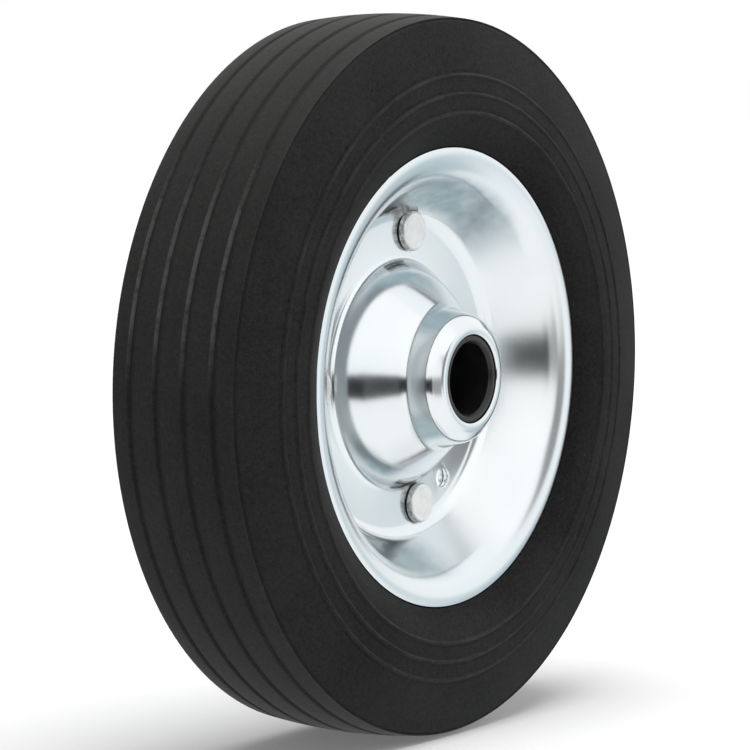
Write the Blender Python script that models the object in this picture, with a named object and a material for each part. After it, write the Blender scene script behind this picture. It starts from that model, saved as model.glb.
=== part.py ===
"""Solid rubber trolley wheel on a pressed steel rim.

Two zinc-plated pressings stand back to back and are riveted together at their flat webs.
Their dished walls clamp a solid rubber tyre, and their domed centres hold a plastic bush
with a plain bore. The wheel turns about Y, its front faces -Y, and its centre is the origin.
All sizes are in metres.
"""
import math

import bmesh
import bpy

# Tyre
WHEEL_RADIUS = 0.100
TREAD_HALF_WIDTH = 0.0198
CROWN_DROP = 0.0013
TYRE_HALF_WIDTH = 0.02475
BULGE_RISE = 0.0107
SIDEWALL_POWER = 1.6
TREAD_STEP_DEPTH = 0.0004
TREAD_STEP_HEIGHT = 0.0010
GROOVE_COUNT = 4
GROOVE_PITCH = 0.00894
GROOVE_WIDTH = 0.0026
GROOVE_FLOOR = 0.0012
GROOVE_DEPTH = 0.0009
RIDGE_COUNT = 3
RIDGE_START = 0.00945
RIDGE_PITCH = 0.00515
RIDGE_WIDTH = 0.0013
RIDGE_HEIGHT = 0.00045
NOSE_CLEARANCE = 0.0036

# Pressed rim halves
SHEET = 0.0015
RIM_EDGE_RADIUS = 0.06335
RIM_HALF_WIDTH = 0.0201
FLANGE_RUN = 0.0068
FLANGE_BEND = 0.0083
WEB_FILLET = 0.0010
DOME_FOOT_RADIUS = 0.0303
DOME_FOOT_FILLET = 0.0022
DOME_TOP_SLOPE = 44.0
DOME_SIDE_RUN = 0.0015
DOME_BEND = 0.0200
NECK_FOOT_RADIUS = 0.0195
NECK_TOP_RADIUS = 0.0177
NECK_LENGTH = 0.0096
NECK_FILLET = 0.0015
COLLAR_DROP = 0.0022
COLLAR_BEND = 0.0019
HUB_HALF_LENGTH = 0.0270
END_RING_WIDTH = 0.0022
END_RING_BEND = 0.0020

# Bush
BORE_RADIUS = 0.0100
BUSH_WALL = 0.0019
BUSH_RECESS = 0.0004
BORE_CHAMFER = 0.00065
SEAT_LENGTH = 0.0070
SLEEVE_WALL = 0.0032

# Rivets and locating hole
RIVET_COUNT = 3
RIVET_CIRCLE_RISE = 0.0010
RIVET_FIRST_ANGLE = 81.2
RIVET_STEP_ANGLE = 101.7
SHANK_RADIUS = 0.0030
HEAD_RADIUS = 0.0056
HEAD_HEIGHT = 0.0020
HEAD_CHAMFER = 0.0006
HEAD_MARGIN = 0.0001
LOCATING_HOLE_RADIUS = 0.00285
LOCATING_HOLE_ANGLE = -54.7

# Clearances and facets
GAP = 0.0003
SEGMENTS = 40
SMALL_SEGMENTS = 20
CHORD_ERROR = 0.00012
OUTER_WALL_STEPS = 4
INNER_WALL_STEPS = 3
FILLET_SHARE = 0.98
SMOOTH_ANGLE = 35.0

# Values that follow from the sizes above
WEB_FACE = GAP / 2 + SHEET
HEAD_ROOM = RIVET_CIRCLE_RISE + HEAD_RADIUS + HEAD_MARGIN
RIVET_CIRCLE = DOME_FOOT_RADIUS + DOME_FOOT_FILLET + HEAD_ROOM
WEB_OUTER_RADIUS = RIVET_CIRCLE + HEAD_ROOM + WEB_FILLET
BUSH_RADIUS = BORE_RADIUS + BUSH_WALL
TINY = 1e-6


def direction(start, end):
    """Unit vector from one (radius, along) point to another."""
    length = math.dist(start[:2], end[:2])
    return (end[0] - start[0]) / length, (end[1] - start[1]) / length


def turn_between(into, out):
    """Signed angle of a bend, positive to the left of the path."""
    cross = into[0] * out[1] - into[1] * out[0]
    dot = into[0] * out[0] + into[1] * out[1]
    return math.atan2(cross, dot)


def shift_corners(corners, distance):
    """The same path moved to its right, as the back of a sheet follows its face."""
    shifted = []
    last = len(corners) - 1
    for index, (radius, along, fillet) in enumerate(corners):
        into = direction(corners[max(index - 1, 0)], corners[max(index, 1)])
        out = direction(corners[min(index, last - 1)], corners[min(index + 1, last)])
        scale = distance / (1 + into[0] * out[0] + into[1] * out[1])
        side = distance if turn_between(into, out) > 0 else -distance
        moved = (radius + scale * (into[1] + out[1]), along - scale * (into[0] + out[0]))
        shifted.append((*moved, max(fillet + side, 0.0)))
    return shifted


def rounded(corners):
    """Points along a path of (radius, along, fillet) corners, with an arc at each fillet."""
    turns = [0.0] * len(corners)
    reach = [0.0] * len(corners)
    for index in range(1, len(corners) - 1):
        into = direction(corners[index - 1], corners[index])
        out = direction(corners[index], corners[index + 1])
        turns[index] = turn_between(into, out)
        reach[index] = corners[index][2] * math.tan(abs(turns[index]) / 2)
    share = [1.0] * len(corners)
    for index in range(len(corners) - 1):
        wanted = reach[index] + reach[index + 1]
        room = FILLET_SHARE * math.dist(corners[index][:2], corners[index + 1][:2])
        if wanted > room:
            share[index] = min(share[index], room / wanted)
            share[index + 1] = min(share[index + 1], room / wanted)
    points = []
    for index, (radius, along, _) in enumerate(corners):
        tangent = reach[index] * share[index]
        if tangent < TINY:
            points.append((radius, along))
            continue
        into = direction(corners[index - 1], corners[index])
        bend = tangent / math.tan(abs(turns[index]) / 2) * math.copysign(1, turns[index])
        centre = (radius - tangent * into[0] - bend * into[1], along - tangent * into[1] + bend * into[0])
        finest = 2 * math.acos(max(1 - CHORD_ERROR / abs(bend), 0.0))
        steps = max(1, math.ceil(abs(turns[index]) / finest))
        for step in range(steps + 1):
            angle = math.atan2(into[1], into[0]) + turns[index] * step / steps
            points.append((centre[0] + bend * math.sin(angle), centre[1] - bend * math.cos(angle)))
    return points


def mirrored(points):
    """The path on the other side of the wheel's middle plane, run the other way."""
    return [(radius, -along) for radius, along in reversed(points)]


def rim_corners():
    """The visible face of a rim half, from the bore outwards."""
    neck_foot = HUB_HALF_LENGTH - NECK_LENGTH
    dome_corner = DOME_FOOT_RADIUS - DOME_SIDE_RUN
    dome_fall = (dome_corner - NECK_FOOT_RADIUS) * math.tan(math.radians(DOME_TOP_SLOPE))
    collar_start = BUSH_RADIUS + GAP + END_RING_WIDTH
    return [
        (BUSH_RADIUS + GAP, HUB_HALF_LENGTH, 0.0),
        (collar_start, HUB_HALF_LENGTH, END_RING_BEND),
        (NECK_TOP_RADIUS, HUB_HALF_LENGTH - COLLAR_DROP, COLLAR_BEND),
        (NECK_FOOT_RADIUS, neck_foot, NECK_FILLET),
        (dome_corner, neck_foot - dome_fall, DOME_BEND),
        (DOME_FOOT_RADIUS, WEB_FACE, DOME_FOOT_FILLET),
        (WEB_OUTER_RADIUS, WEB_FACE, WEB_FILLET),
        (RIM_EDGE_RADIUS - FLANGE_RUN, RIM_HALF_WIDTH, FLANGE_BEND),
        (RIM_EDGE_RADIUS, RIM_HALF_WIDTH, 0.0),
    ]


def rim_outline():
    """Section of one pressing: its face and, a sheet's thickness behind it, its back."""
    face = rounded(rim_corners())
    back = rounded(shift_corners(rim_corners(), SHEET))
    return face + back[::-1]


def tread_outline():
    """Crowned tread with its grooves, from the back edge to the front edge."""
    def crown(along):
        return WHEEL_RADIUS - CROWN_DROP * (along / TREAD_HALF_WIDTH) ** 2

    points = [(crown(TREAD_HALF_WIDTH), -TREAD_HALF_WIDTH)]
    for index in range(GROOVE_COUNT):
        centre = (index - (GROOVE_COUNT - 1) / 2) * GROOVE_PITCH
        if index > 0:
            rib = centre - GROOVE_PITCH / 2
            points.append((crown(rib), rib))
        left, right = [], []
        for offset, depth in ((GROOVE_WIDTH / 2, 0.0), (GROOVE_FLOOR / 2, GROOVE_DEPTH)):
            left.append((crown(centre - offset) - depth, centre - offset))
            right.insert(0, (crown(centre + offset) - depth, centre + offset))
        points += left + right
    points.append((crown(TREAD_HALF_WIDTH), TREAD_HALF_WIDTH))
    return points


def sidewall_outline():
    """Front sidewall from the tread's edge to the rim, with its raised rings."""
    top = WHEEL_RADIUS - CROWN_DROP
    bead = RIM_EDGE_RADIUS + GAP
    bulge = RIM_EDGE_RADIUS + BULGE_RISE

    def half_width(radius):
        if radius > bulge:
            share = (radius - bulge) / (top - bulge)
            return TYRE_HALF_WIDTH - (TYRE_HALF_WIDTH - TREAD_HALF_WIDTH) * share ** SIDEWALL_POWER
        share = (bulge - radius) / (bulge - bead)
        return TYRE_HALF_WIDTH - (TYRE_HALF_WIDTH - RIM_HALF_WIDTH) * share ** SIDEWALL_POWER

    raised = {}
    for index in range(RIDGE_COUNT):
        crest = RIM_EDGE_RADIUS + RIDGE_START + index * RIDGE_PITCH
        for offset, height in ((-0.5, 0), (0, RIDGE_HEIGHT), (0.5, 0)):
            raised[crest + offset * RIDGE_WIDTH] = height
    step_foot = top - TREAD_STEP_HEIGHT
    last_ridge = max(raised)
    outer_step = (step_foot - last_ridge) / OUTER_WALL_STEPS
    inner_step = (min(raised) - bead) / INNER_WALL_STEPS
    plain = [step_foot - step * outer_step for step in range(OUTER_WALL_STEPS)]
    plain += [bead + step * inner_step for step in range(INNER_WALL_STEPS)]
    heights = {radius: 0.0 for radius in plain} | raised
    points = [(top - TREAD_STEP_HEIGHT / 2, TREAD_HALF_WIDTH - TREAD_STEP_DEPTH)]
    for radius in sorted(heights, reverse=True):
        if bead <= radius <= step_foot:
            points.append((radius, half_width(radius) + heights[radius]))
    return points


def seat_outline():
    """Front half of the tyre's inside, which lies behind the rim half's flange and wall."""
    behind = shift_corners(rim_corners()[-3:], SHEET + GAP)
    wall = direction(behind[0], behind[1])
    nose_radius = WEB_OUTER_RADIUS + NOSE_CLEARANCE
    nose_along = behind[0][1] + (nose_radius - behind[0][0]) * wall[1] / wall[0]
    path = [(nose_radius, nose_along, 0.0), behind[1], (RIM_EDGE_RADIUS + GAP, behind[2][1], 0.0)]
    return rounded(path)[::-1]


def tyre_outline():
    """Closed section of the tyre, alike on both sides of its middle plane."""
    front = sidewall_outline() + seat_outline()
    return tread_outline() + front + mirrored(front)


def bush_outline():
    """Closed section of the bush: sleeve, a tapered seat in each neck, and plain bore."""
    inside = shift_corners(rim_corners()[:4], SHEET + GAP)
    neck = direction(inside[2], inside[3])
    seat_foot = (inside[2][0] + SEAT_LENGTH * neck[0], inside[2][1] + SEAT_LENGTH * neck[1])
    end = HUB_HALF_LENGTH - BUSH_RECESS
    front = [
        (BORE_RADIUS, end - BORE_CHAMFER),
        (BORE_RADIUS + BORE_CHAMFER, end),
        (BUSH_RADIUS, end),
        (BUSH_RADIUS, inside[1][1]),
        inside[1][:2],
        inside[2][:2],
        seat_foot,
        (BORE_RADIUS + SLEEVE_WALL, seat_foot[1]),
    ]
    return front + mirrored(front)


def rivet_outline():
    """Half section of a rivet, from the middle of one head to the middle of the other."""
    under = WEB_FACE + GAP
    top = under + HEAD_HEIGHT
    front = [
        (0.0, top),
        (HEAD_RADIUS - HEAD_CHAMFER, top),
        (HEAD_RADIUS, top - HEAD_CHAMFER),
        (HEAD_RADIUS, under),
        (SHANK_RADIUS, under),
    ]
    return front + mirrored(front)


def spun_mesh(name, outline, segments):
    """A turned solid: a section in (radius, along) spun once round the Y axis."""
    shape = bmesh.new()
    verts = [shape.verts.new((radius, along, 0.0)) for radius, along in outline]
    if outline[0][0] > 0.0:
        verts.append(verts[0])
    edges = [shape.edges.new(pair) for pair in zip(verts, verts[1:])]
    geometry = list(dict.fromkeys(verts)) + edges
    bmesh.ops.spin(
        shape, geom=geometry, cent=(0, 0, 0), axis=(0, 1, 0),
        angle=math.tau, steps=segments, use_merge=True,
    )
    bmesh.ops.remove_doubles(shape, verts=shape.verts, dist=TINY)
    bmesh.ops.recalc_face_normals(shape, faces=shape.faces)
    mesh = bpy.data.meshes.new(name)
    shape.to_mesh(mesh)
    shape.free()
    mesh.shade_smooth()
    mesh.set_sharp_from_angle(angle=math.radians(SMOOTH_ANGLE))
    return mesh


def material(name, colour, roughness, metallic):
    """A Principled material."""
    made = bpy.data.materials.new(name)
    made.use_nodes = True
    shader = made.node_tree.nodes["Principled BSDF"]
    shader.inputs["Base Color"].default_value = (*colour, 1.0)
    shader.inputs["Roughness"].default_value = roughness
    shader.inputs["Metallic"].default_value = metallic
    return made


def add(name, mesh, parent, location=(0, 0, 0)):
    """Put a mesh in the scene as a named piece of the wheel."""
    piece = bpy.data.objects.new(name, mesh)
    bpy.context.collection.objects.link(piece)
    piece.parent = parent
    piece.location = location
    return piece


def on_web(angle):
    """A point of the rivet circle, which is pierced a little above the axle's centre."""
    turned = math.radians(angle)
    return RIVET_CIRCLE * math.cos(turned), 0.0, RIVET_CIRCLE_RISE + RIVET_CIRCLE * math.sin(turned)


def rivet_places():
    """Centres of the rivets on the web."""
    return [on_web(RIVET_FIRST_ANGLE + index * RIVET_STEP_ANGLE) for index in range(RIVET_COUNT)]


def hole_cutter(parent):
    """Rods that bore the rivet holes and the locating hole through both webs."""
    holes = [(place, SHANK_RADIUS + GAP) for place in rivet_places()]
    holes.append((on_web(LOCATING_HOLE_ANGLE), LOCATING_HOLE_RADIUS))
    half_length = 2 * WEB_FACE
    mesh = bpy.data.meshes.new("hole_cutter")
    rods = bmesh.new()
    for place, radius in holes:
        rod = spun_mesh("rod", [(0.0, half_length), (radius, half_length), (radius, -half_length),
                                (0.0, -half_length)], SMALL_SEGMENTS)
        first = len(rods.verts)
        rods.from_mesh(rod)
        rods.verts.ensure_lookup_table()
        bmesh.ops.translate(rods, verts=rods.verts[first:], vec=place)
        bpy.data.meshes.remove(rod)
    rods.to_mesh(mesh)
    rods.free()
    cutter = add("hole_cutter", mesh, parent)
    cutter.display_type = "WIRE"
    cutter.hide_render = True
    return cutter


def build_tyre(parent):
    """Solid rubber tyre."""
    mesh = spun_mesh("tyre", tyre_outline(), SEGMENTS)
    mesh.materials.append(material("rubber", (0.024, 0.024, 0.026), 0.75, 0.0))
    add("tyre", mesh, parent)


def build_rim_halves(parent):
    """The two pressings, mirror images of each other."""
    zinc = material("zinc_plate", (0.78, 0.81, 0.84), 0.22, 1.0)
    cutter = hole_cutter(parent)
    for name, side in (("rim_half_front", -1), ("rim_half_back", 1)):
        outline = [(radius, side * along) for radius, along in rim_outline()]
        mesh = spun_mesh(name, outline, SEGMENTS)
        mesh.materials.append(zinc)
        half = add(name, mesh, parent)
        holes = half.modifiers.new("web_holes", "BOOLEAN")
        holes.operation = "DIFFERENCE"
        holes.solver = "EXACT"
        holes.object = cutter


def build_bush(parent):
    """Plastic bush that runs on the axle."""
    mesh = spun_mesh("bush", bush_outline(), SEGMENTS)
    mesh.materials.append(material("black_plastic", (0.012, 0.012, 0.013), 0.4, 0.0))
    add("bush", mesh, parent)


def build_rivets(parent):
    """Rivets through both webs, on one circle."""
    mesh = spun_mesh("rivet", rivet_outline(), SMALL_SEGMENTS)
    mesh.materials.append(material("rivet_steel", (0.72, 0.71, 0.69), 0.35, 1.0))
    for number, place in enumerate(rivet_places(), start=1):
        add(f"rivet_{number}", mesh, parent, place)


def main():
    """Clear the scene and build the wheel."""
    for old in list(bpy.data.objects):
        bpy.data.objects.remove(old, do_unlink=True)
    wheel = bpy.data.objects.new("wheel", None)
    bpy.context.collection.objects.link(wheel)
    build_tyre(wheel)
    build_rim_halves(wheel)
    build_bush(wheel)
    build_rivets(wheel)


main()
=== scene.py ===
# %% [markdown]
# # A rubber trolley wheel
# The wheel is a solid rubber tyre on a rim of two zinc-plated steel pressings. The pressings
# stand back to back, three rivets hold them together, and a black plastic bush in the hub
# turns on the axle. Almost every piece is round, so this lesson is about drawing a good
# section and spinning it, and then about rubber and bright zinc.

import math

import bmesh
import bpy
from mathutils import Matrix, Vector


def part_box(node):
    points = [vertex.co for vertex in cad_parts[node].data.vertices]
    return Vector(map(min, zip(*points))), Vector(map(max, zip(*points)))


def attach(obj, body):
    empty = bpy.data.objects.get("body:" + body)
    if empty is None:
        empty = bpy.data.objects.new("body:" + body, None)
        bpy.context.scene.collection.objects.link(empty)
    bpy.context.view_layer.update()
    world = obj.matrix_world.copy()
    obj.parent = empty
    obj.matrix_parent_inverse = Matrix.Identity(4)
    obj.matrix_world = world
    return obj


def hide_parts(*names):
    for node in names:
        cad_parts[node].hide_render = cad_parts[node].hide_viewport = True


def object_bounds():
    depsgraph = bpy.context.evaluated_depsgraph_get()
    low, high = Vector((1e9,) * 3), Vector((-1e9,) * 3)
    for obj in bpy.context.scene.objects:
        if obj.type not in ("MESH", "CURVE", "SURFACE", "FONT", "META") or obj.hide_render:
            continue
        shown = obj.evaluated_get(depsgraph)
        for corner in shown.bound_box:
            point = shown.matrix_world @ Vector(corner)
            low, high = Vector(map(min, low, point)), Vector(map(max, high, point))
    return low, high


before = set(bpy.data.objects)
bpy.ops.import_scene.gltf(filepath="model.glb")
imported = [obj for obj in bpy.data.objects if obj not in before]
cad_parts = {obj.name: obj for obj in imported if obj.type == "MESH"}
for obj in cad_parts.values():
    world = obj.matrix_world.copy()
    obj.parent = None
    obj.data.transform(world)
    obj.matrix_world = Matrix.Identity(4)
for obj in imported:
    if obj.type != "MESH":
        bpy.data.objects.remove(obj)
cad_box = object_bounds()
print("nodes:", sorted(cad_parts))
print("box in mm:", [[round(1000 * value, 1) for value in corner] for corner in cad_box])

# %% [markdown]
# ## Camera
# A long lens from about a metre away sees the wheel from its front left and a little from
# above. A short lens close by could frame it too, but it would stretch the near side of the
# round shapes. The place and the direction come from fitting the tyre's and the rim's ellipses.

# %% Camera
CAMERA_PLACE = (-0.7992, -0.5552, 0.0848)
CAMERA_SIGHT = Vector((0.8154, 0.5723, -0.0871))
CAMERA_LENS = 168.3

camera = bpy.data.objects.new("camera", bpy.data.cameras.new("camera"))
bpy.context.collection.objects.link(camera)
camera.location = CAMERA_PLACE
camera.rotation_euler = CAMERA_SIGHT.to_track_quat("-Z", "Y").to_euler()
camera.data.sensor_width = 36.0
camera.data.lens = CAMERA_LENS
camera.data.clip_start = 0.01
bpy.context.scene.camera = camera
bpy.context.scene.view_settings.view_transform = "Standard"
print("camera is", round(camera.location.length, 3), "m from the wheel's centre")

# %% [markdown]
# ## Shader arithmetic
# Node trees get long, so shader maths is written as ordinary arithmetic. A Socket wraps one
# output of a node, and each operator adds a Math node. A Finish is one node tree, and its node
# method makes any other node from its type, its settings and its inputs.

# %% A socket with arithmetic
class Socket:
    """One output of a shader node, with operators that add Math nodes."""

    def __init__(self, finish, output):
        self.finish = finish
        self.output = output

    def math(self, operation, *others):
        return self.finish.math(operation, self, *others)

    def __add__(self, other):
        return self.math("ADD", other)

    def __sub__(self, other):
        return self.math("SUBTRACT", other)

    def __rsub__(self, other):
        return self.finish.math("SUBTRACT", other, self)

    def __mul__(self, other):
        return self.math("MULTIPLY", other)

    def __truediv__(self, other):
        return self.math("DIVIDE", other)

    def __rtruediv__(self, other):
        return self.finish.math("DIVIDE", other, self)

    def __abs__(self):
        return self.math("ABSOLUTE")

    __radd__ = __add__
    __rmul__ = __mul__

    def limit(self, low, high):
        return self.math("MAXIMUM", low).math("MINIMUM", high)

    def ramp(self, low, high):
        """0 at low, 1 at high, smooth between them. It falls where low is above high."""
        settings = {"interpolation_type": "SMOOTHSTEP"}
        values = {"Value": self, "From Min": low, "From Max": high}
        return self.finish.node("ShaderNodeMapRange", settings, values).out()

    def band(self, centre, half_width, soft):
        """1 within half_width of centre, fading to 0 over the soft distance."""
        return abs(self - centre).ramp(half_width + soft, half_width)


# %% A node and the tree that it is in
class Made:
    """A node that was just made."""

    def __init__(self, finish, node):
        self.finish = finish
        self.raw = node

    def out(self, name=0):
        return Socket(self.finish, self.raw.outputs[name])


class Finish:
    """A node tree that is filled through one method."""

    def __init__(self, tree):
        self.tree = tree
        tree.nodes.clear()

    def node(self, kind, settings=None, inputs=None):
        raw = self.tree.nodes.new(kind)
        for name, value in (settings or {}).items():
            setattr(raw, name, value)
        pairs = inputs.items() if isinstance(inputs, dict) else enumerate(inputs or [])
        for name, value in pairs:
            if isinstance(value, Socket):
                self.tree.links.new(value.output, raw.inputs[name])
            else:
                raw.inputs[name].default_value = value
        return Made(self, raw)

    def math(self, operation, *values):
        return self.node("ShaderNodeMath", {"operation": operation}, values).out()

    def mix(self, share, first, second):
        """A colour between first and second."""
        settings = {"data_type": "RGBA"}
        made = self.node("ShaderNodeMix", settings, {0: share, 6: first, 7: second})
        return made.out(2)

    def noise(self, place, scale, detail=2.0, roughness=0.5):
        values = {"Vector": place, "Scale": scale, "Detail": detail, "Roughness": roughness}
        return self.node("ShaderNodeTexNoise", {}, values).out(0)

    def bump(self, height, distance, strength=1.0):
        values = {"Height": height, "Distance": distance, "Strength": strength}
        return self.node("ShaderNodeBump", {}, values).out()


print("shader tools ready")

# %% [markdown]
# Each of the wheel's materials starts with a new node tree, the object's own coordinates and,
# where it needs them, distances from an axis along Y. Object coordinates stick to the piece,
# so a mark that is worked out from them stays where it is when the wheel moves.

# %% How a material starts and ends
def new_finish(name):
    """A new material, and the finish that fills its nodes."""
    made = bpy.data.materials.new(name)
    made.use_nodes = True
    return made, Finish(made.node_tree)


def object_place(finish):
    """The object's own coordinates as one vector, and its X, Y and Z."""
    place = finish.node("ShaderNodeTexCoord").out("Object")
    parts = finish.node("ShaderNodeSeparateXYZ", {}, [place])
    return place, parts.out("X"), parts.out("Y"), parts.out("Z")


def length(across, up):
    """Distance from an axis along Y, from the two distances at right angles to it."""
    return (across * across + up * up).math("SQRT")


def shader_out(finish, values):
    shader = finish.node("ShaderNodeBsdfPrincipled", {}, values)
    finish.node("ShaderNodeOutputMaterial", {}, {"Surface": shader.out()})


print("material helpers ready")

# %% [markdown]
# ## Studio
# Bright zinc has almost no colour of its own: what is seen on it is the studio. Lamps and
# cards could stand round the wheel, but a world that is drawn with nodes is quicker to aim.
# For reflections it is a white tent with darker panels in it, such as a dark gap low down
# beside the camera and a softer grey screen in front of the wheel, and all of them are
# repeated behind the wheel. For the camera the world is plain white, and for the light on
# dull surfaces it is an even grey.

# %% Panels of the tent
# Centre, half width, lowest, highest and soft edge in degrees, then the strength and the colour
PANELS = {
    "right_side": ((58.0, 18.0, -90.0, 60.0, 15.0), 0.40, (0.98, 1.02, 1.03)),
    "right_end": ((74.0, 14.0, -28.0, -8.0, 10.0), 0.60, (0.25, 0.40, 0.46)),
    "low_floor": ((-2.0, 75.0, -90.0, -72.0, 12.0), 0.35, (0.42, 0.52, 0.56)),
    "table_edge": ((-21.0, 16.0, -15.0, -3.0, 6.0), 0.85, (0.24, 0.24, 0.24)),
    "grey_screen": ((13.0, 12.0, -5.0, 16.0, 8.0), 0.85, (0.17, 0.18, 0.185)),
    "dark_gap": ((-69.0, 32.0, -18.0, -0.5, 5.0), 1.0, (0.024, 0.024, 0.026)),
}
HALF_TURN, WHOLE_TURN = 180.0, 360.0
TENT_FOOT = (1.12, 1.13, 1.13, 1.0)
TENT_TOP = (1.25, 1.24, 1.23, 1.0)
TENT_FADE = (-0.3, 0.6)
EVEN_GREY = (0.24, 0.24, 0.24, 1.0)
WHITE = (1.0, 1.0, 1.0, 1.0)
print("panels:", ", ".join(PANELS))

# %% World
world = bpy.data.worlds.new("studio")
bpy.context.scene.world = world
world.use_nodes = True
tent = Finish(world.node_tree)

IN_DEGREES = HALF_TURN / math.pi
towards = tent.node("ShaderNodeTexCoord").out("Generated")
split = tent.node("ShaderNodeSeparateXYZ", {}, [towards])
side, depth, height = split.out("X"), split.out("Y"), split.out("Z")
turn = side.math("ARCTAN2", depth * -1.0) * IN_DEGREES
rise = height.math("ARCSINE") * IN_DEGREES


def screen(centre, half_width, low, high, soft):
    """A soft-edged patch of the tent, by its turn from -Y towards +X and its rise."""
    above_zero = turn - centre + (WHOLE_TURN + HALF_TURN)
    offset = above_zero.math("MODULO", WHOLE_TURN) - HALF_TURN
    upright = rise.band((low + high) / 2, (high - low) / 2, soft)
    return offset.band(0.0, half_width, soft) * upright


tent_light = tent.mix(height.ramp(*TENT_FADE), TENT_FOOT, TENT_TOP)
for middle in (0.0, HALF_TURN):
    for (centre, half_width, low, high, soft), strength, colour in PANELS.values():
        panel = screen(middle + centre, half_width, low, high, soft)
        tent_light = tent.mix(panel * strength, tent_light, (*colour, 1.0))

path = tent.node("ShaderNodeLightPath")
even_light = tent.mix(path.out("Is Glossy Ray"), EVEN_GREY, tent_light)
background = tent.mix(path.out("Is Camera Ray"), even_light, WHITE)
sky = tent.node("ShaderNodeBackground", {}, {"Color": background, "Strength": 1.0})
tent.node("ShaderNodeOutputWorld", {}, {"Surface": sky.out()})
print("tent has", len(world.node_tree.nodes), "nodes")

# %% [markdown]
# The floor is a plain sheet under the tyre. It is white, it keeps the wheel's shadow, and
# reflections don't see it, because the tent's lower half already stands for it there. A little
# glow, which only the camera sees, lifts it to an even white.

# %% Floor
FLOOR_SIZE = 4.0
FLOOR_GAP = 0.0001
FLOOR_PAINT = (0.9, 0.9, 0.9, 1.0)
FLOOR_GLOW = 0.13

floor_height = cad_box[0][2] - FLOOR_GAP
sheet = bmesh.new()
bmesh.ops.create_grid(sheet, x_segments=1, y_segments=1, size=FLOOR_SIZE)
bmesh.ops.translate(sheet, verts=sheet.verts, vec=(0.0, 0.0, floor_height))
floor_mesh = bpy.data.meshes.new("floor")
sheet.to_mesh(floor_mesh)
sheet.free()
floor = bpy.data.objects.new("floor", floor_mesh)
bpy.context.collection.objects.link(floor)
floor.visible_glossy = False

floor_white, wash = new_finish("floor_white")
matt = wash.node("ShaderNodeBsdfDiffuse", {}, {"Color": FLOOR_PAINT})
seen = wash.node("ShaderNodeLightPath").out("Is Camera Ray")
glow = wash.node("ShaderNodeEmission", {}, {"Color": WHITE, "Strength": seen * FLOOR_GLOW})
both = wash.node("ShaderNodeAddShader", {}, [matt.out(), glow.out()])
wash.node("ShaderNodeOutputMaterial", {}, {"Surface": both.out()})
floor_mesh.materials.append(floor_white)
print("floor lies", round(1000 * floor_height, 1), "mm from the centre")

# %% [markdown]
# Two wide soft suns give the tyre its form: one from almost overhead, which brightens the top
# of the tread, and a weaker one from the front right for the sidewall. Area lamps would do it
# too, but a sun lights the whole floor evenly, so the floor stays white to the horizon.
# Reflections don't see the suns, for the same reason as the floor.

# %% Suns
def soft_sun(name, place, strength, spread):
    """A sun that shines from the place to the wheel, with its spread in degrees."""
    sun = bpy.data.objects.new(name, bpy.data.lights.new(name, "SUN"))
    bpy.context.collection.objects.link(sun)
    sun.rotation_euler = (-Vector(place)).to_track_quat("-Z", "Y").to_euler()
    sun.data.energy = strength
    sun.data.angle = math.radians(spread)
    sun.visible_glossy = False


soft_sun("sun_above", place=(-0.05, -0.10, 1.0), strength=2.2, spread=45.0)
soft_sun("sun_right", place=(1.0, -0.60, 0.30), strength=1.5, spread=60.0)

# %% [markdown]
# ## Drawing a section
# A turned piece is one section, drawn in the plane of the radius and the axle, and spun once
# round the axle. A Pen draws the section with the same operators that a modeller would use by
# hand: it extrudes a vertex for a straight line and spins a vertex for an arc. Corners can be
# given with a fillet, and the pen works out where each arc starts. Where two fillets don't
# fit on the line between them, both shrink by the same share.

# %% Pen
TINY = 1e-6
ARC_STEP = 0.00035
FEWEST_ARC_STEPS = 3
FILLET_SHARE = 0.98


def places_and_sides(corners):
    """Each corner's place, and the direction of each side between them."""
    places = [Vector(corner[:2]) for corner in corners]
    return places, [(after - before).normalized() for before, after in zip(places, places[1:])]


class Pen:
    """Draws one closed section of (radius, along) points."""

    def __init__(self):
        self.shape = bmesh.new()
        self.first = None
        self.tip = None

    def line(self, point):
        """A straight line to the point."""
        place = Vector((*point, 0.0))
        if self.tip is None:
            self.tip = self.shape.verts.new(place)
            self.first = self.tip
        elif (place - self.tip.co).length > TINY:
            grown = bmesh.ops.extrude_vert_indiv(self.shape, verts=[self.tip])
            self.tip = grown["verts"][0]
            self.tip.co = place

    def arc(self, centre, angle, radius):
        """An arc from where the pen is, round the centre."""
        steps = max(FEWEST_ARC_STEPS, math.ceil(abs(angle) * radius / ARC_STEP))
        swept = bmesh.ops.spin(
            self.shape, geom=[self.tip], cent=(*centre, 0.0), axis=(0, 0, 1),
            angle=angle, steps=steps,
        )
        last = swept["geom_last"]
        self.tip = next(item for item in last if isinstance(item, bmesh.types.BMVert))

    def corners(self, corners):
        """Lines through (radius, along, fillet) corners, with an arc at each fillet."""
        places, sides = places_and_sides(corners)
        bends = [into.angle_signed(out, 0.0) * -1 for into, out in zip(sides, sides[1:])]
        reach = [0.0] * len(corners)
        for index, bend in enumerate(bends, start=1):
            reach[index] = corners[index][2] * math.tan(abs(bend) / 2)
        share = [1.0] * len(corners)
        for index in range(len(corners) - 1):
            room = FILLET_SHARE * (places[index + 1] - places[index]).length
            wanted = reach[index] + reach[index + 1]
            if wanted > room:
                share[index] = min(share[index], room / wanted)
                share[index + 1] = min(share[index + 1], room / wanted)
        for index, place in enumerate(places):
            tangent = reach[index] * share[index]
            if tangent < TINY:
                self.line(place)
                continue
            into, bend = sides[index - 1], bends[index - 1]
            start = place - into * tangent
            rounding = tangent / math.tan(abs(bend) / 2)
            inward = Vector((-into.y, into.x)) * math.copysign(rounding, bend)
            self.line(start)
            self.arc(start + inward, bend, rounding)


print("arcs have a vertex about every", round(1000 * ARC_STEP, 2), "mm")

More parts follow.
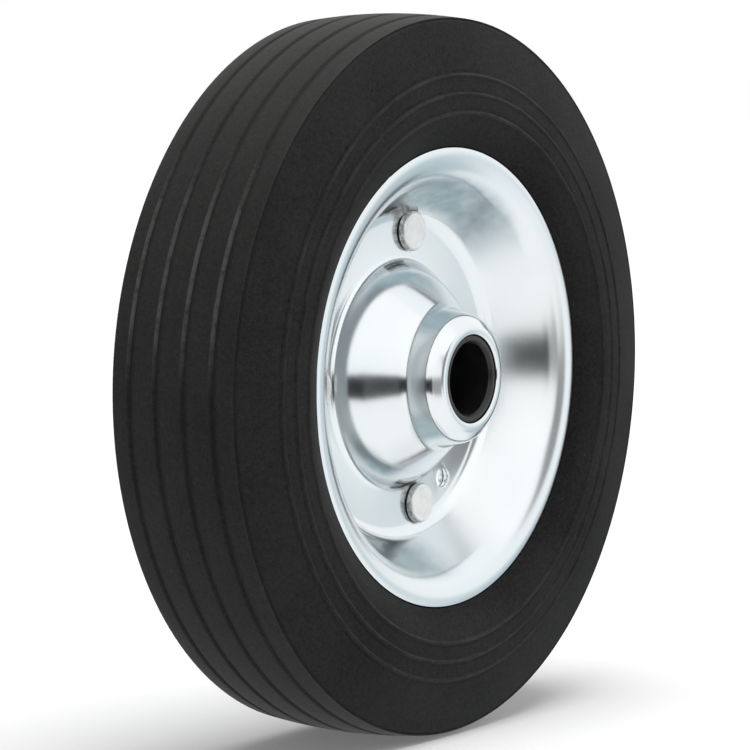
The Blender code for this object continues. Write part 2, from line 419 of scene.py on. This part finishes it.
# %% [markdown]
# The lathe closes the section and spins it a full turn. A Screw modifier could do the same,
# but the operator gives the mesh at once, ready for later steps to cut and bevel. A full spin
# meets itself, so use_merge closes the seam. Doubles go next and the normals are worked out
# after, and edges sharper than the given angle stay crisp.

# %% Lathe
TURN_STEPS = 180


def lathe(pen, steps=TURN_STEPS):
    """A turned solid from the pen's section, as a bmesh."""
    shape = pen.shape
    if pen.first.co.x > TINY:
        shape.edges.new((pen.tip, pen.first))
    section = list(shape.verts) + list(shape.edges)
    bmesh.ops.spin(
        shape, geom=section, cent=(0, 0, 0), axis=(0, 1, 0),
        angle=math.tau, steps=steps, use_merge=True,
    )
    bmesh.ops.remove_doubles(shape, verts=shape.verts, dist=TINY)
    bmesh.ops.recalc_face_normals(shape, faces=shape.faces)
    return shape


def piece(name, shape, node, sharp=35.0):
    """Makes an object of a bmesh that stands for a node of the frame."""
    mesh = bpy.data.meshes.new(name)
    shape.to_mesh(mesh)
    shape.free()
    mesh.shade_smooth()
    mesh.set_sharp_from_angle(angle=math.radians(sharp))
    made = bpy.data.objects.new(name, mesh)
    bpy.context.collection.objects.link(made)
    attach(made, "root")
    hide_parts(node)
    low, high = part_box(node)
    size = [round(1000 * (end - start), 1) for start, end in zip(low, high)]
    print(name, "has", len(mesh.polygons), "faces, and", node, "is", size, "mm")
    return made


print("a full turn takes", TURN_STEPS, "steps")

# %% [markdown]
# ## Sizes
# The tyre, the rim and the bush share their seats, so the sizes they have in common come first,
# in metres. Everything is measured from the wheel's centre: radius from the axle line, and
# along it from the middle plane.

# %% Shared sizes
GAP = 0.0003
SHEET = 0.0015
WEB_FACE = GAP / 2 + SHEET
RIM_EDGE_RADIUS = 0.06335
RIM_HALF_WIDTH = 0.0201
WEB_OUTER_RADIUS = 0.0452
BORE_RADIUS = 0.0100
BUSH_RADIUS = 0.0119
HUB_HALF_LENGTH = 0.0270
print("web is", round(2000 * SHEET, 1), "mm thick in all")

# %% [markdown]
# Two helpers work on lists of corners. One moves a path sideways by the sheet's thickness, as
# the back of a pressing follows its face, and the fillets grow or shrink with it. The other
# turns a path round and mirrors it, because both sides of the wheel are alike.

# %% Paths
def beside(corners, distance):
    """The same path, moved to its right."""
    places, sides = places_and_sides(corners)
    moved = []
    for index, (here, corner) in enumerate(zip(places, corners)):
        into, out = sides[max(index - 1, 0)], sides[min(index, len(sides) - 1)]
        right = Vector((into.y + out.y, -into.x - out.x)) / (1 + into.dot(out))
        left_turn = into.x * out.y - into.y * out.x > 0
        grown = corner[2] + (distance if left_turn else -distance)
        fillet = max(grown, 0.0) if corner[2] else 0.0
        moved.append((*(here + right * distance), fillet))
    return moved


def other_side(corners):
    """The path on the other side of the middle plane, run the other way."""
    return [(radius, -along, fillet) for radius, along, fillet in reversed(corners)]


print("path helpers ready")

# %% [markdown]
# The face of a pressing runs from the collar round the bush, down the neck and the dome to the
# flat web, and up the dished wall into the flange. Its corners are few, and the fillets on
# them make the drawn metal's soft bends.

# %% Face of the pressing
END_RING_WIDTH, END_RING_BEND = 0.0022, 0.0026
COLLAR_DROP, COLLAR_BEND = 0.0022, 0.0038
NECK_TOP_RADIUS, NECK_FOOT_RADIUS = 0.0177, 0.0195
NECK_LENGTH, NECK_BEND = 0.0096, 0.0050
DOME_FOOT_RADIUS, DOME_FOOT_BEND = 0.0317, 0.0022
DOME_SIDE_RUN, DOME_BEND, DOME_SLOPE = 0.0022, 0.0200, 46.0
FLANGE_RUN, FLANGE_BEND = 0.0069, 0.0095
WEB_BEND = 0.0050

collar_radius = BUSH_RADIUS + GAP
neck_foot = HUB_HALF_LENGTH - NECK_LENGTH
dome_corner = DOME_FOOT_RADIUS - DOME_SIDE_RUN
dome_fall = (dome_corner - NECK_FOOT_RADIUS) * math.tan(math.radians(DOME_SLOPE))
rim_face = [
    (collar_radius, HUB_HALF_LENGTH, 0.0),
    (collar_radius + END_RING_WIDTH, HUB_HALF_LENGTH, END_RING_BEND),
    (NECK_TOP_RADIUS, HUB_HALF_LENGTH - COLLAR_DROP, COLLAR_BEND),
    (NECK_FOOT_RADIUS, neck_foot, NECK_BEND),
    (dome_corner, neck_foot - dome_fall, DOME_BEND),
    (DOME_FOOT_RADIUS, WEB_FACE, DOME_FOOT_BEND),
    (WEB_OUTER_RADIUS, WEB_FACE, WEB_BEND),
    (RIM_EDGE_RADIUS - FLANGE_RUN, RIM_HALF_WIDTH, FLANGE_BEND),
    (RIM_EDGE_RADIUS, RIM_HALF_WIDTH, 0.0),
]
print("the pressing's face has", len(rim_face), "corners")

# %% [markdown]
# ## Tyre
# The real tyre is one moulding of solid black rubber. Its tread has four shallow grooves, its
# sidewalls swell and carry three fine raised rings each, and inside it is gripped by the rim's
# flanges. A torus with loop cuts would give the round form, but a spun section puts each groove
# and ring at its measured place.

# %% Tread
WHEEL_RADIUS = 0.100
TREAD_HALF_WIDTH = 0.0198
CROWN_DROP = 0.0013
GROOVE_COUNT = 4
GROOVE_PITCH = 0.00894
GROOVE_WIDTH = 0.0019
GROOVE_FLOOR = 0.0004
GROOVE_DEPTH = 0.0006
LIP_ROUND, FLOOR_ROUND = 0.0003, 0.0005
# Where a rib's crown has points, in pitches from the middle of the groove after it
RIB_POINTS = (-0.70, -0.42)


def crown(along):
    """Radius of the tread without its grooves."""
    return WHEEL_RADIUS - CROWN_DROP * (along / TREAD_HALF_WIDTH) ** 2


groove_middles = [(count - (GROOVE_COUNT - 1) / 2) * GROOVE_PITCH for count in range(GROOVE_COUNT)]
tread = [(crown(TREAD_HALF_WIDTH), -TREAD_HALF_WIDTH, LIP_ROUND)]
for middle in groove_middles:
    ribs = [middle + share * GROOVE_PITCH for share in RIB_POINTS]
    near, far = middle - GROOVE_WIDTH / 2, middle + GROOVE_WIDTH / 2
    groove_floor = crown(middle) - GROOVE_DEPTH
    # A rib's point that would lie on the tread's rounded edge is left out
    tread += [(crown(rib), rib, 0.0) for rib in ribs if rib > LIP_ROUND - TREAD_HALF_WIDTH]
    tread.append((crown(near), near, LIP_ROUND))
    tread.append((groove_floor, middle - GROOVE_FLOOR / 2, FLOOR_ROUND))
    tread.append((groove_floor, middle + GROOVE_FLOOR / 2, FLOOR_ROUND))
    tread.append((crown(far), far, LIP_ROUND))
tread.append((crown(TREAD_HALF_WIDTH), TREAD_HALF_WIDTH, LIP_ROUND))
print("tread corners:", len(tread))

# %% [markdown]
# The sidewall is a curve by a rule: it leans back from its widest radius by a power of the
# distance, and a cosine raises each ring. It is sampled closely where the rings are and widely
# elsewhere. A small step parts it from the tread.

# %% Sidewall
TYRE_HALF_WIDTH = 0.02475
BULGE_RISE = 0.0107
BULGE_RADIUS = RIM_EDGE_RADIUS + BULGE_RISE
BEAD_RADIUS = RIM_EDGE_RADIUS + GAP
SIDEWALL_POWER = 1.6
STEP_HEIGHT, STEP_DEPTH = 0.0010, 0.0004
RING_COUNT, RING_START, RING_PITCH = 3, 0.00945, 0.00515
RING_HALF_WIDTH, RING_HEIGHT = 0.00065, 0.00045
RING_MARGIN = 0.0008
WALL_STEPS, RING_STEPS = 26, 5

step_foot = crown(TREAD_HALF_WIDTH) - STEP_HEIGHT
ring_radii = [RIM_EDGE_RADIUS + RING_START + count * RING_PITCH for count in range(RING_COUNT)]


def off_ring(radius):
    """Distance from the nearest ring's middle."""
    return min(abs(radius - ring) for ring in ring_radii)


def wall_along(radius):
    """How far the sidewall stands from the middle plane at a radius, rings included."""
    end_radius, end_along = BEAD_RADIUS, RIM_HALF_WIDTH
    if radius > BULGE_RADIUS:
        end_radius, end_along = crown(TREAD_HALF_WIDTH), TREAD_HALF_WIDTH
    share = (radius - BULGE_RADIUS) / (end_radius - BULGE_RADIUS)
    plain = TYRE_HALF_WIDTH - (TYRE_HALF_WIDTH - end_along) * share**SIDEWALL_POWER
    ring_rise = 0.5 + 0.5 * math.cos(math.pi * min(off_ring(radius) / RING_HALF_WIDTH, 1.0))
    return plain + RING_HEIGHT * ring_rise


wall_height = step_foot - BEAD_RADIUS
radii = [BEAD_RADIUS + wall_height * count / WALL_STEPS for count in range(WALL_STEPS + 1)]
radii = [radius for radius in radii if off_ring(radius) > RING_MARGIN]
for ring in ring_radii:
    steps = range(-RING_STEPS, RING_STEPS + 1)
    radii += [ring + RING_HALF_WIDTH * count / RING_STEPS for count in steps]
step = (crown(TREAD_HALF_WIDTH) - STEP_HEIGHT / 2, TREAD_HALF_WIDTH - STEP_DEPTH, STEP_DEPTH / 2)
wall = [step] + [(radius, wall_along(radius), 0.0) for radius in sorted(radii, reverse=True)]
print("sidewall corners:", len(wall))

# %% [markdown]
# Inside, the rubber follows the backs of the two pressings from the flange down the dished
# wall, and it ends in a blunt nose above the web. Its seat is the same path as the rim's face,
# moved by the sheet's thickness and a gap, so the two always fit.

# %% Whole tyre
NOSE_CLEARANCE = 0.0036

seat = beside(rim_face[-3:], SHEET + GAP)
wall_run = Vector(seat[1][:2]) - Vector(seat[0][:2])
nose_radius = WEB_OUTER_RADIUS + NOSE_CLEARANCE
nose_along = seat[0][1] + (nose_radius - seat[0][0]) * wall_run.y / wall_run.x
seat = [(nose_radius, nose_along, 0.0), seat[1], (BEAD_RADIUS, seat[2][1], 0.0)]
front = wall + seat[::-1]

tyre_pen = Pen()
tyre_pen.corners(tread + front + other_side(front))
tyre = piece("tyre_rubber", lathe(tyre_pen), "tyre")

# %% [markdown]
# ## Rim halves
# Each half is pressed from 1.5 mm sheet: a flat web with a dome and a neck drawn out of its
# middle, and a dished wall that rolls over into the flange round its edge. A flat disc could be
# pushed into this form by hand, or a thin surface could be thickened by Solidify. Here the
# section is the face and, a sheet's thickness behind it, the back, because then the cut edges
# can have a small round, which catches the light as a fine line.

# %% Spin the halves
CUT_EDGE_ROUND = 0.00025
SIDES = {"front": -1, "back": 1}


def rim_section(side):
    """The section of one half, on the given side of the middle plane."""
    outline = rim_face + beside(rim_face, SHEET)[::-1]
    cut_edges = (0, len(rim_face) - 1, len(rim_face), len(outline) - 1)
    section = []
    for index, (radius, along, fillet) in enumerate(outline):
        section.append((radius, side * along, CUT_EDGE_ROUND if index in cut_edges else fillet))
    return section


def closed(pen, corners):
    """Draws a closed section, starting in the middle of its last side."""
    start = (Vector(corners[-1][:2]) + Vector(corners[0][:2])) / 2
    pen.corners([(*start, 0.0), *corners, (*start, 0.0)])
    spare = pen.tip
    pen.tip = next(edge.other_vert(spare) for edge in spare.link_edges)
    pen.shape.verts.remove(spare)


rim_shapes = {}
for half, side in SIDES.items():
    pen = Pen()
    closed(pen, rim_section(side))
    rim_shapes[half] = lathe(pen)
    print("rim half", half, "has", len(rim_shapes[half].faces), "faces")

# %% [markdown]
# The rivets and the locating hole sit on one circle. On this wheel that circle is pierced a
# millimetre above the axle line, so each place is found from its angle and that small rise.

# %% Places on the web
RIVET_CIRCLE = 0.0392
RIVET_CIRCLE_RISE = 0.0010
RIVET_COUNT = 3
FIRST_RIVET_ANGLE, RIVET_STEP_ANGLE = 81.2, 101.7
HOLE_ANGLE, HOLE_RADIUS = -54.7, 0.00285


def on_web(angle):
    """A point of the rivet circle, with the angle in degrees from +X towards +Z."""
    turned = math.radians(angle)
    across, up = RIVET_CIRCLE * math.cos(turned), RIVET_CIRCLE * math.sin(turned)
    return Vector((across, 0.0, RIVET_CIRCLE_RISE + up))


rivet_angles = [FIRST_RIVET_ANGLE + RIVET_STEP_ANGLE * count for count in range(RIVET_COUNT)]
rivet_places = [on_web(angle) for angle in rivet_angles]
hole_place = on_web(HOLE_ANGLE)
print("locating hole is", round(1000 * hole_place.length, 1), "mm from the axle line")

# %% [markdown]
# The locating hole goes through both halves. A Boolean with a short rod cuts it, and the rod is
# thrown away afterwards. Then the hole's two edges are bevelled: they are the sharp edges that
# lie on the hole's wall.

# %% A rod and a cut
ROD_SIDES = 96


def rod(place, radius, half_length):
    """A closed rod along Y for a cut."""
    shape = bmesh.new()
    bmesh.ops.create_circle(shape, cap_ends=True, segments=ROD_SIDES, radius=radius)
    disc = list(shape.faces)
    grown = bmesh.ops.extrude_face_region(shape, geom=disc)["geom"]
    top = [item for item in grown if isinstance(item, bmesh.types.BMVert)]
    bmesh.ops.translate(shape, verts=top, vec=(0, 0, 2 * half_length))
    bmesh.ops.translate(shape, verts=shape.verts, vec=(0, 0, -half_length))
    turned = Vector((0, 0, 1)).rotation_difference(Vector((0, 1, 0))).to_matrix()
    bmesh.ops.rotate(shape, verts=shape.verts, cent=(0, 0, 0), matrix=turned)
    bmesh.ops.translate(shape, verts=shape.verts, vec=place)
    bmesh.ops.recalc_face_normals(shape, faces=shape.faces)
    return shape


def cut(shape, tool):
    """The bmesh less the tool, worked out by a Boolean modifier."""
    objects = []
    for name, part in (("cut_body", shape), ("cut_tool", tool)):
        mesh = bpy.data.meshes.new(name)
        part.to_mesh(mesh)
        part.free()
        objects.append(bpy.data.objects.new(name, mesh))
        bpy.context.collection.objects.link(objects[-1])
    body, knife = objects
    boolean = body.modifiers.new("hole", "BOOLEAN")
    boolean.operation = "DIFFERENCE"
    boolean.solver = "EXACT"
    boolean.object = knife
    ready = body.evaluated_get(bpy.context.evaluated_depsgraph_get())
    result = bmesh.new()
    result.from_mesh(ready.to_mesh())
    ready.to_mesh_clear()
    for thing in objects:
        mesh = thing.data
        bpy.data.objects.remove(thing)
        bpy.data.meshes.remove(mesh)
    return result


print("a rod has", ROD_SIDES, "sides")

# %% Cut the locating hole
ROD_HALF_LENGTH = 0.006
HOLE_ROUND = 0.00022
HOLE_MARGIN = 0.00002
SHARP_ANGLE = 1.0


def on_hole_edge(edge):
    """True for an edge of the locating hole that is sharper than the angle, in radians."""
    offsets = [Vector((vert.co.x, 0.0, vert.co.z)) - hole_place for vert in edge.verts]
    close = all(abs(offset.length - HOLE_RADIUS) < HOLE_MARGIN for offset in offsets)
    return close and len(edge.link_faces) == 2 and edge.calc_face_angle() > SHARP_ANGLE


rims = []
for half in SIDES:
    shape = cut(rim_shapes[half], rod(hole_place, HOLE_RADIUS, ROD_HALF_LENGTH))
    lips = [edge for edge in shape.edges if on_hole_edge(edge)]
    bmesh.ops.bevel(
        shape, geom=lips, offset=HOLE_ROUND, offset_type="OFFSET", affect="EDGES",
        segments=3, profile=0.5, material=-1,
    )
    rims.append(piece(f"rim_{half}_zinc", shape, f"rim_half_{half}", 30.0))
    print("hole edges rounded:", len(lips))

# %% [markdown]
# ## Bush
# The bush is one black plastic moulding with a plain bore for the axle. It fills each neck,
# and only its two end rings show. A tube with bevelled ends would look the same from outside.
# The section also follows the inside of each neck, which is where such a bush is held, and
# the bore's ends are chamfered, so that the axle starts easily.

# %% Bush
BUSH_RECESS = 0.0004
CHAMFER_WIDTH, CHAMFER_LENGTH = 0.00065, 0.00105
SEAT_LENGTH = 0.0070
SLEEVE_WALL = 0.0032
BUSH_TURN_STEPS = 160

bush_seat = beside(rim_face[:4], SHEET + GAP)
neck_run = (Vector(bush_seat[3][:2]) - Vector(bush_seat[2][:2])).normalized()
seat_foot = Vector(bush_seat[2][:2]) + neck_run * SEAT_LENGTH
end = HUB_HALF_LENGTH - BUSH_RECESS
bush_front = [
    (BORE_RADIUS, end - CHAMFER_LENGTH, 0.0003),
    (BORE_RADIUS + CHAMFER_WIDTH, end, 0.0002),
    (BUSH_RADIUS, end, 0.00035),
    (BUSH_RADIUS, bush_seat[1][1], 0.0),
    (*bush_seat[1][:2], 0.0),
    bush_seat[2],
    (*seat_foot, 0.0),
    (BORE_RADIUS + SLEEVE_WALL, seat_foot.y, 0.0),
]
bush_pen = Pen()
closed(bush_pen, bush_front + other_side(bush_front))
bush = piece("bush_plastic", lathe(bush_pen, BUSH_TURN_STEPS), "bush", 40.0)

# %% [markdown]
# ## Rivets
# A pressed rivet head is a low disc with a flat face and a chamfer round it. The press leaves
# a faint ring near the rim of the face, and the face is a little hollow. A bevelled cylinder
# would miss both, so the head is a spun section too. One section serves all three rivets,
# because each is spun on the axle line and then moved to its place.

# %% Rivets
HEAD_RADIUS = 0.0056
HEAD_HEIGHT = 0.0020
SHANK_RADIUS = 0.0030
RIVET_TURN_STEPS = 96
# Radius, how far below the head's top, and fillet, from the middle of the face outwards
HEAD_FACE = [
    (0.0, 0.00006, 0.0),
    (0.0026, 0.00004, 0.0060),
    (0.0042, 0.00010, 0.0015),
    (0.00455, 0.0, 0.0004),
    (0.0050, 0.0, 0.00022),
    (0.0055, 0.00055, 0.0003),
    (HEAD_RADIUS, 0.0012, 0.0006),
]

head_foot = WEB_FACE + GAP
head_top = head_foot + HEAD_HEIGHT
head = [(radius, head_top - drop, fillet) for radius, drop, fillet in HEAD_FACE]
head += [(HEAD_RADIUS, head_foot, 0.00025), (SHANK_RADIUS, head_foot, 0.0)]
rivets = []
for number, place in enumerate(rivet_places, start=1):
    pen = Pen()
    pen.corners(head + other_side(head))
    shape = lathe(pen, RIVET_TURN_STEPS)
    bmesh.ops.translate(shape, verts=shape.verts, vec=place)
    rivets.append(piece(f"rivet_{number}_steel", shape, f"rivet_{number}", 40.0))

# %% [markdown]
# ## Rubber
# The tyre is black rubber with a fine moulded grain. It isn't one black. The tread is dusty and
# a little lighter, and painted light makes it lighter still near its top and its foot. Each
# groove is darker with painted shade, and above the axle's height its lip towards the back
# holds pale dust and a painted highlight. The rings and the tread's edge are rubbed lighter,
# a painted shadow lies just outside each ring, and close to the rim the rubber is darker with
# painted shade. A painted image could carry all this, but masks that are worked out from the
# radius and the distance along the axle follow the shape exactly and stay sharp close up.

# %% Where the rubber is marked
MM = 1000.0
# A fade is where it starts and ends, in millimetres or in shares of the radius
TREAD_FADE, RIM_FADE, EDGE_FADE = (97.4, 98.4), (70.0, 64.0), (19.0, 19.7)
# The groove lips' pale dust and painted highlight lie between these shares of the height
UPPER_LIP_FROM, UPPER_LIP_TO = (0.0, 0.24), (0.70, 0.42)
# Painted light lightens the tread between these shares of the height, towards its top and its foot
TOP_FADE, FOOT_FADE = (0.30, 0.90), (-0.40, -0.80)
# A band is its centre, half width and soft edge in millimetres. The edge's centre is a radius,
# and the others' centres are measured from the middle of the ring or the groove.
EDGE_BAND = (98.5, 0.25, 0.5)
# The rings' second band is a painted shadow just outside each ring
RING_BAND, RING_SHADOW_BAND = (0.0, 0.28, 0.40), (1.05, 0.15, 0.35)
# The lip band carries dust and a painted highlight, and the shade band painted shade in the groove
LIP_BAND, SHADE_BAND = (0.75, 0.25, 0.45), (-0.35, 0.65, 0.70)

rubber, paint = new_finish("black_rubber")
spot, px, py, pz = object_place(paint)
radius = length(px, pz) * MM
along = abs(py) * MM
height_share = pz * MM / radius

on_tread = radius.ramp(*TREAD_FADE)
# Painted shade: the rubber darkens towards where it meets the rim
near_rim = radius.ramp(*RIM_FADE)
tread_edge = radius.band(*EDGE_BAND) * along.ramp(*EDGE_FADE)
ring_wear_and_shadow, groove_lips, groove_shade = 0.0, 0.0, 0.0
# Each ring is rubbed lighter, and a painted shadow lies just outside it
for ring in ring_radii:
    off_middle = radius - MM * ring
    ring_wear_and_shadow = off_middle.band(*RING_BAND) + ring_wear_and_shadow
    ring_wear_and_shadow = ring_wear_and_shadow - off_middle.band(*RING_SHADOW_BAND) * 0.4
# Each groove's back lip takes dust and a painted highlight, and painted shade darkens the groove
for middle in groove_middles:
    off_groove = py * MM - MM * middle
    groove_lips = off_groove.band(*LIP_BAND) + groove_lips
    groove_shade = off_groove.band(*SHADE_BAND) + groove_shade
# Above the axle's height the lips take dust and a painted highlight
upper_lip_stretch = height_share.ramp(*UPPER_LIP_FROM) * height_share.ramp(*UPPER_LIP_TO)
# Painted light: the tread is lighter towards its top and its foot
painted_top_and_foot_light = height_share.ramp(*TOP_FADE) * 0.24 + height_share.ramp(*FOOT_FADE) * 0.07
print("marks on the rubber take", len(rubber.node_tree.nodes), "nodes")

# %% Rubber
DEEP_BLACK = (0.0020, 0.0019, 0.0018, 1.0)
WORN_BLACK = (0.058, 0.057, 0.056, 1.0)
# The pale colour is dust and a painted highlight on the groove lips
PALE_DUST_AND_HIGHLIGHT = (0.13, 0.13, 0.128, 1.0)

grain = paint.noise(spot, 2100.0, 2.0, 0.6)
pores = paint.noise(spot, 800.0, 2.0, 0.5)
streaks = paint.noise(spot, 140.0, 3.0, 0.6)
patches = paint.noise(spot, 30.0, 3.0, 0.6)
speckle = paint.noise(spot, 800.0, 1.0, 0.5).ramp(0.80, 0.84)
ragged = paint.noise(spot, 380.0, 3.0, 0.7).ramp(0.30, 0.62)

chalk = 0.25 + streaks.ramp(0.35, 0.70) * 0.75
# Pale dust and a painted highlight on the back lip of each groove
dust_and_highlight = on_tread * groove_lips * upper_lip_stretch * (0.35 + ragged * 0.65)
# Besides tone, this holds painted light on the tread's top and foot and painted shade near the rim
wear_and_painted_light = 0.21 + on_tread * (0.10 + painted_top_and_foot_light) + (patches - 0.5) * 0.45 - near_rim * 0.08
# These marks hold wear, the painted shadow beside the rings and painted shade in the grooves
marks = (ring_wear_and_shadow * 0.30 + tread_edge * 0.15) * chalk - on_tread * groove_shade * 0.12
fine = (grain - 0.5) * 0.5 + (pores - 0.5) * 0.3 + speckle * 0.6
shade = (wear_and_painted_light + marks + fine).limit(0.0, 1.0)
black = paint.mix(shade, DEEP_BLACK, WORN_BLACK)
surface = grain * 0.6 + pores * 0.4
shader_out(paint, {
    "Base Color": paint.mix(dust_and_highlight * 0.60, black, PALE_DUST_AND_HIGHLIGHT),
    "Roughness": 0.60 + patches * 0.15,
    "Specular IOR Level": 0.13,
    "Normal": paint.bump(surface, 0.00018, 0.6),
})
tyre.data.materials.append(rubber)
print("rubber has", len(rubber.node_tree.nodes), "nodes")

# %% [markdown]
# ## Zinc
# Bright zinc plate is a pale bluish metal. It reflects nearly everything, softly, because the
# drawn sheet under it is not quite smooth: faint lines run round the axle where the metal was
# stretched, most of all on the dished wall, and the plate's haze varies from patch to patch.
# One flat metal colour would look like chrome, so a thin tint wanders between blue and a
# warmer white. The dish is darker teal towards its top and its foot, partly a film left by the
# plating's last bath and partly painted shade, and painted shade lies in a ring round the foot
# of each rivet.

# %% Where the zinc is marked
# The dish's teal, partly the plating's film and partly painted shade, gathers towards these angles
TOP_ANGLE, FOOT_ANGLE = 82.0, -110.0
TOP_REACH, FOOT_REACH = (0.72, 0.95), (0.84, 0.98)
# The radii in metres between which the wall's haze, and the dish's film and painted shade,
# come and go
WALL_FOOT, WALL_TOP = (0.0460, 0.0490), (0.0620, 0.0590)
DISH_FOOT, DISH_TOP = (0.0455, 0.0485), (0.0572, 0.0530)
# A ring of painted shade round the foot of each rivet head
RIVET_SHADE_RING = (1.14 * HEAD_RADIUS, 1.01 * HEAD_RADIUS)

zinc, plate = new_finish("zinc_plate")
spot, px, py, pz = object_place(plate)
radius = length(px, pz)


def facing(angle):
    """1 towards an angle in degrees from +X towards +Z, and 0 at a right angle to it."""
    turned = math.radians(angle)
    return (px * math.cos(turned) + pz * math.sin(turned)) / radius


specks = plate.noise(spot, 1500.0, 2.0, 0.6)
on_wall = radius.ramp(*WALL_FOOT) * radius.ramp(*WALL_TOP)
in_dish = radius.ramp(*DISH_FOOT) * radius.ramp(*DISH_TOP)
# Teal in the dish towards its top and its foot: partly the plating's film, partly painted shade
top_and_foot = facing(TOP_ANGLE).ramp(*TOP_REACH) + facing(FOOT_ANGLE).ramp(*FOOT_REACH)
blotches = plate.noise(spot, 170.0, 3.0, 0.6).ramp(0.25, 0.70)
film_and_shade = in_dish * top_and_foot * (0.60 + blotches * 0.40)
# Painted shade round the foot of each rivet head, where it meets the web
rivet_foot_shade = 0.0
for place in rivet_places:
    off_rivet = length(px - place.x, pz - place.z)
    rivet_foot_shade = off_rivet.ramp(*RIVET_SHADE_RING) + rivet_foot_shade
rivet_foot_shade = rivet_foot_shade * specks.ramp(0.35, 0.65)
print("marks on the zinc take", len(zinc.node_tree.nodes), "nodes")

# %% Zinc plate
BLUE_SILVER = (0.735, 0.785, 0.810, 1.0)
WARM_SILVER = (0.775, 0.805, 0.815, 1.0)
DULL_SPECK = (0.55, 0.59, 0.61, 1.0)
# The teal is the dish's film and painted shade
TEAL_FILM_AND_SHADE = (0.27, 0.37, 0.41, 1.0)
# The grey is painted shade round the foot of each rivet
RIVET_SHADE_GREY = (0.20, 0.20, 0.20, 1.0)
LINES_PER_METRE = 1600.0

lines = [radius * LINES_PER_METRE, py * LINES_PER_METRE, 0.0]
run = plate.node("ShaderNodeCombineXYZ", {}, lines).out()
drawn_lines = plate.noise(run, 1.0, 3.0, 0.6)
haze = plate.noise(spot, 60.0, 4.0, 0.6)
tint = plate.noise(spot, 24.0, 3.0, 0.5)

silver = plate.mix(tint.ramp(0.35, 0.65), BLUE_SILVER, WARM_SILVER)
silver = plate.mix(specks.ramp(0.62, 0.80) * 0.10, silver, DULL_SPECK)
# The dish's teal film and painted shade
silver = plate.mix(film_and_shade * 0.85, silver, TEAL_FILM_AND_SHADE)
# Painted shade round the rivets
silver = plate.mix(rivet_foot_shade * 0.5, silver, RIVET_SHADE_GREY)
surface = drawn_lines * (0.5 + on_wall * 0.5) + specks * 0.35 + haze * 1.8
shader_out(plate, {
    "Base Color": silver,
    "Metallic": 1.0,
    "Roughness": 0.12 + haze * 0.08 + on_wall * 0.06,
    "Normal": plate.bump(surface, 0.00002, 0.40),
})
for rim in rims:
    rim.data.materials.append(zinc)
print("zinc has", len(zinc.node_tree.nodes), "nodes")

# %% [markdown]
# ## Plastic and rivet steel
# The bush is near black and takes a soft shine on its edges. The rivet heads are plated too,
# but the press has matted them, so they look like pale satin with a fine grain, and painted
# shade darkens the sides of the heads. Each could be one plain colour, but two noises, one
# fine and one wide, keep it from looking too even.

# %% Bush plastic
DEEP_PLASTIC = (0.006, 0.006, 0.0065, 1.0)
RUBBED_PLASTIC = (0.014, 0.014, 0.015, 1.0)

plastic, resin = new_finish("black_plastic")
spot = resin.node("ShaderNodeTexCoord").out("Object")
moulded = resin.noise(spot, 1400.0, 2.0, 0.5)
rubbed = resin.noise(spot, 180.0, 3.0, 0.6)
shader_out(resin, {
    "Base Color": resin.mix(rubbed.ramp(0.4, 0.7), DEEP_PLASTIC, RUBBED_PLASTIC),
    "Roughness": 0.34 + rubbed * 0.15,
    "Normal": resin.bump(moulded, 0.00003, 0.5),
})
bush.data.materials.append(plastic)
print("plastic has", len(plastic.node_tree.nodes), "nodes")

# %% Rivet steel
GREY_SATIN = (0.80, 0.80, 0.79, 1.0)
PALE_SATIN = (0.89, 0.885, 0.87, 1.0)
# The grey is painted shade on the heads' flanks
FLANK_SHADE_GREY = (0.22, 0.22, 0.22, 1.0)
FLANK_BAND = (HEAD_RADIUS * MM, 0.20, 0.15)

steel, head_finish = new_finish("rivet_steel")
spot, px, py, pz = object_place(head_finish)
peen = head_finish.noise(spot, 1100.0, 3.0, 0.6)
cloud = head_finish.noise(spot, 260.0, 3.0, 0.6)
# Painted shade darkens the flank of each head
flank = 0.0
for place in rivet_places:
    off_centre = length(px - place.x, pz - place.z) * MM
    flank = off_centre.band(*FLANK_BAND) + flank
flank_shade = flank * (0.25 + peen.ramp(0.4, 0.6) * 0.45)
satin = head_finish.mix(cloud.ramp(0.35, 0.7), GREY_SATIN, PALE_SATIN)
shader_out(head_finish, {
    "Base Color": head_finish.mix(flank_shade, satin, FLANK_SHADE_GREY),
    "Metallic": 1.0,
    "Roughness": 0.36 + cloud * 0.16,
    "Normal": head_finish.bump(peen * 0.6 + cloud * 0.8, 0.00004, 0.5),
})
for rivet in rivets:
    rivet.data.materials.append(steel)
print("rivet steel has", len(steel.node_tree.nodes), "nodes")
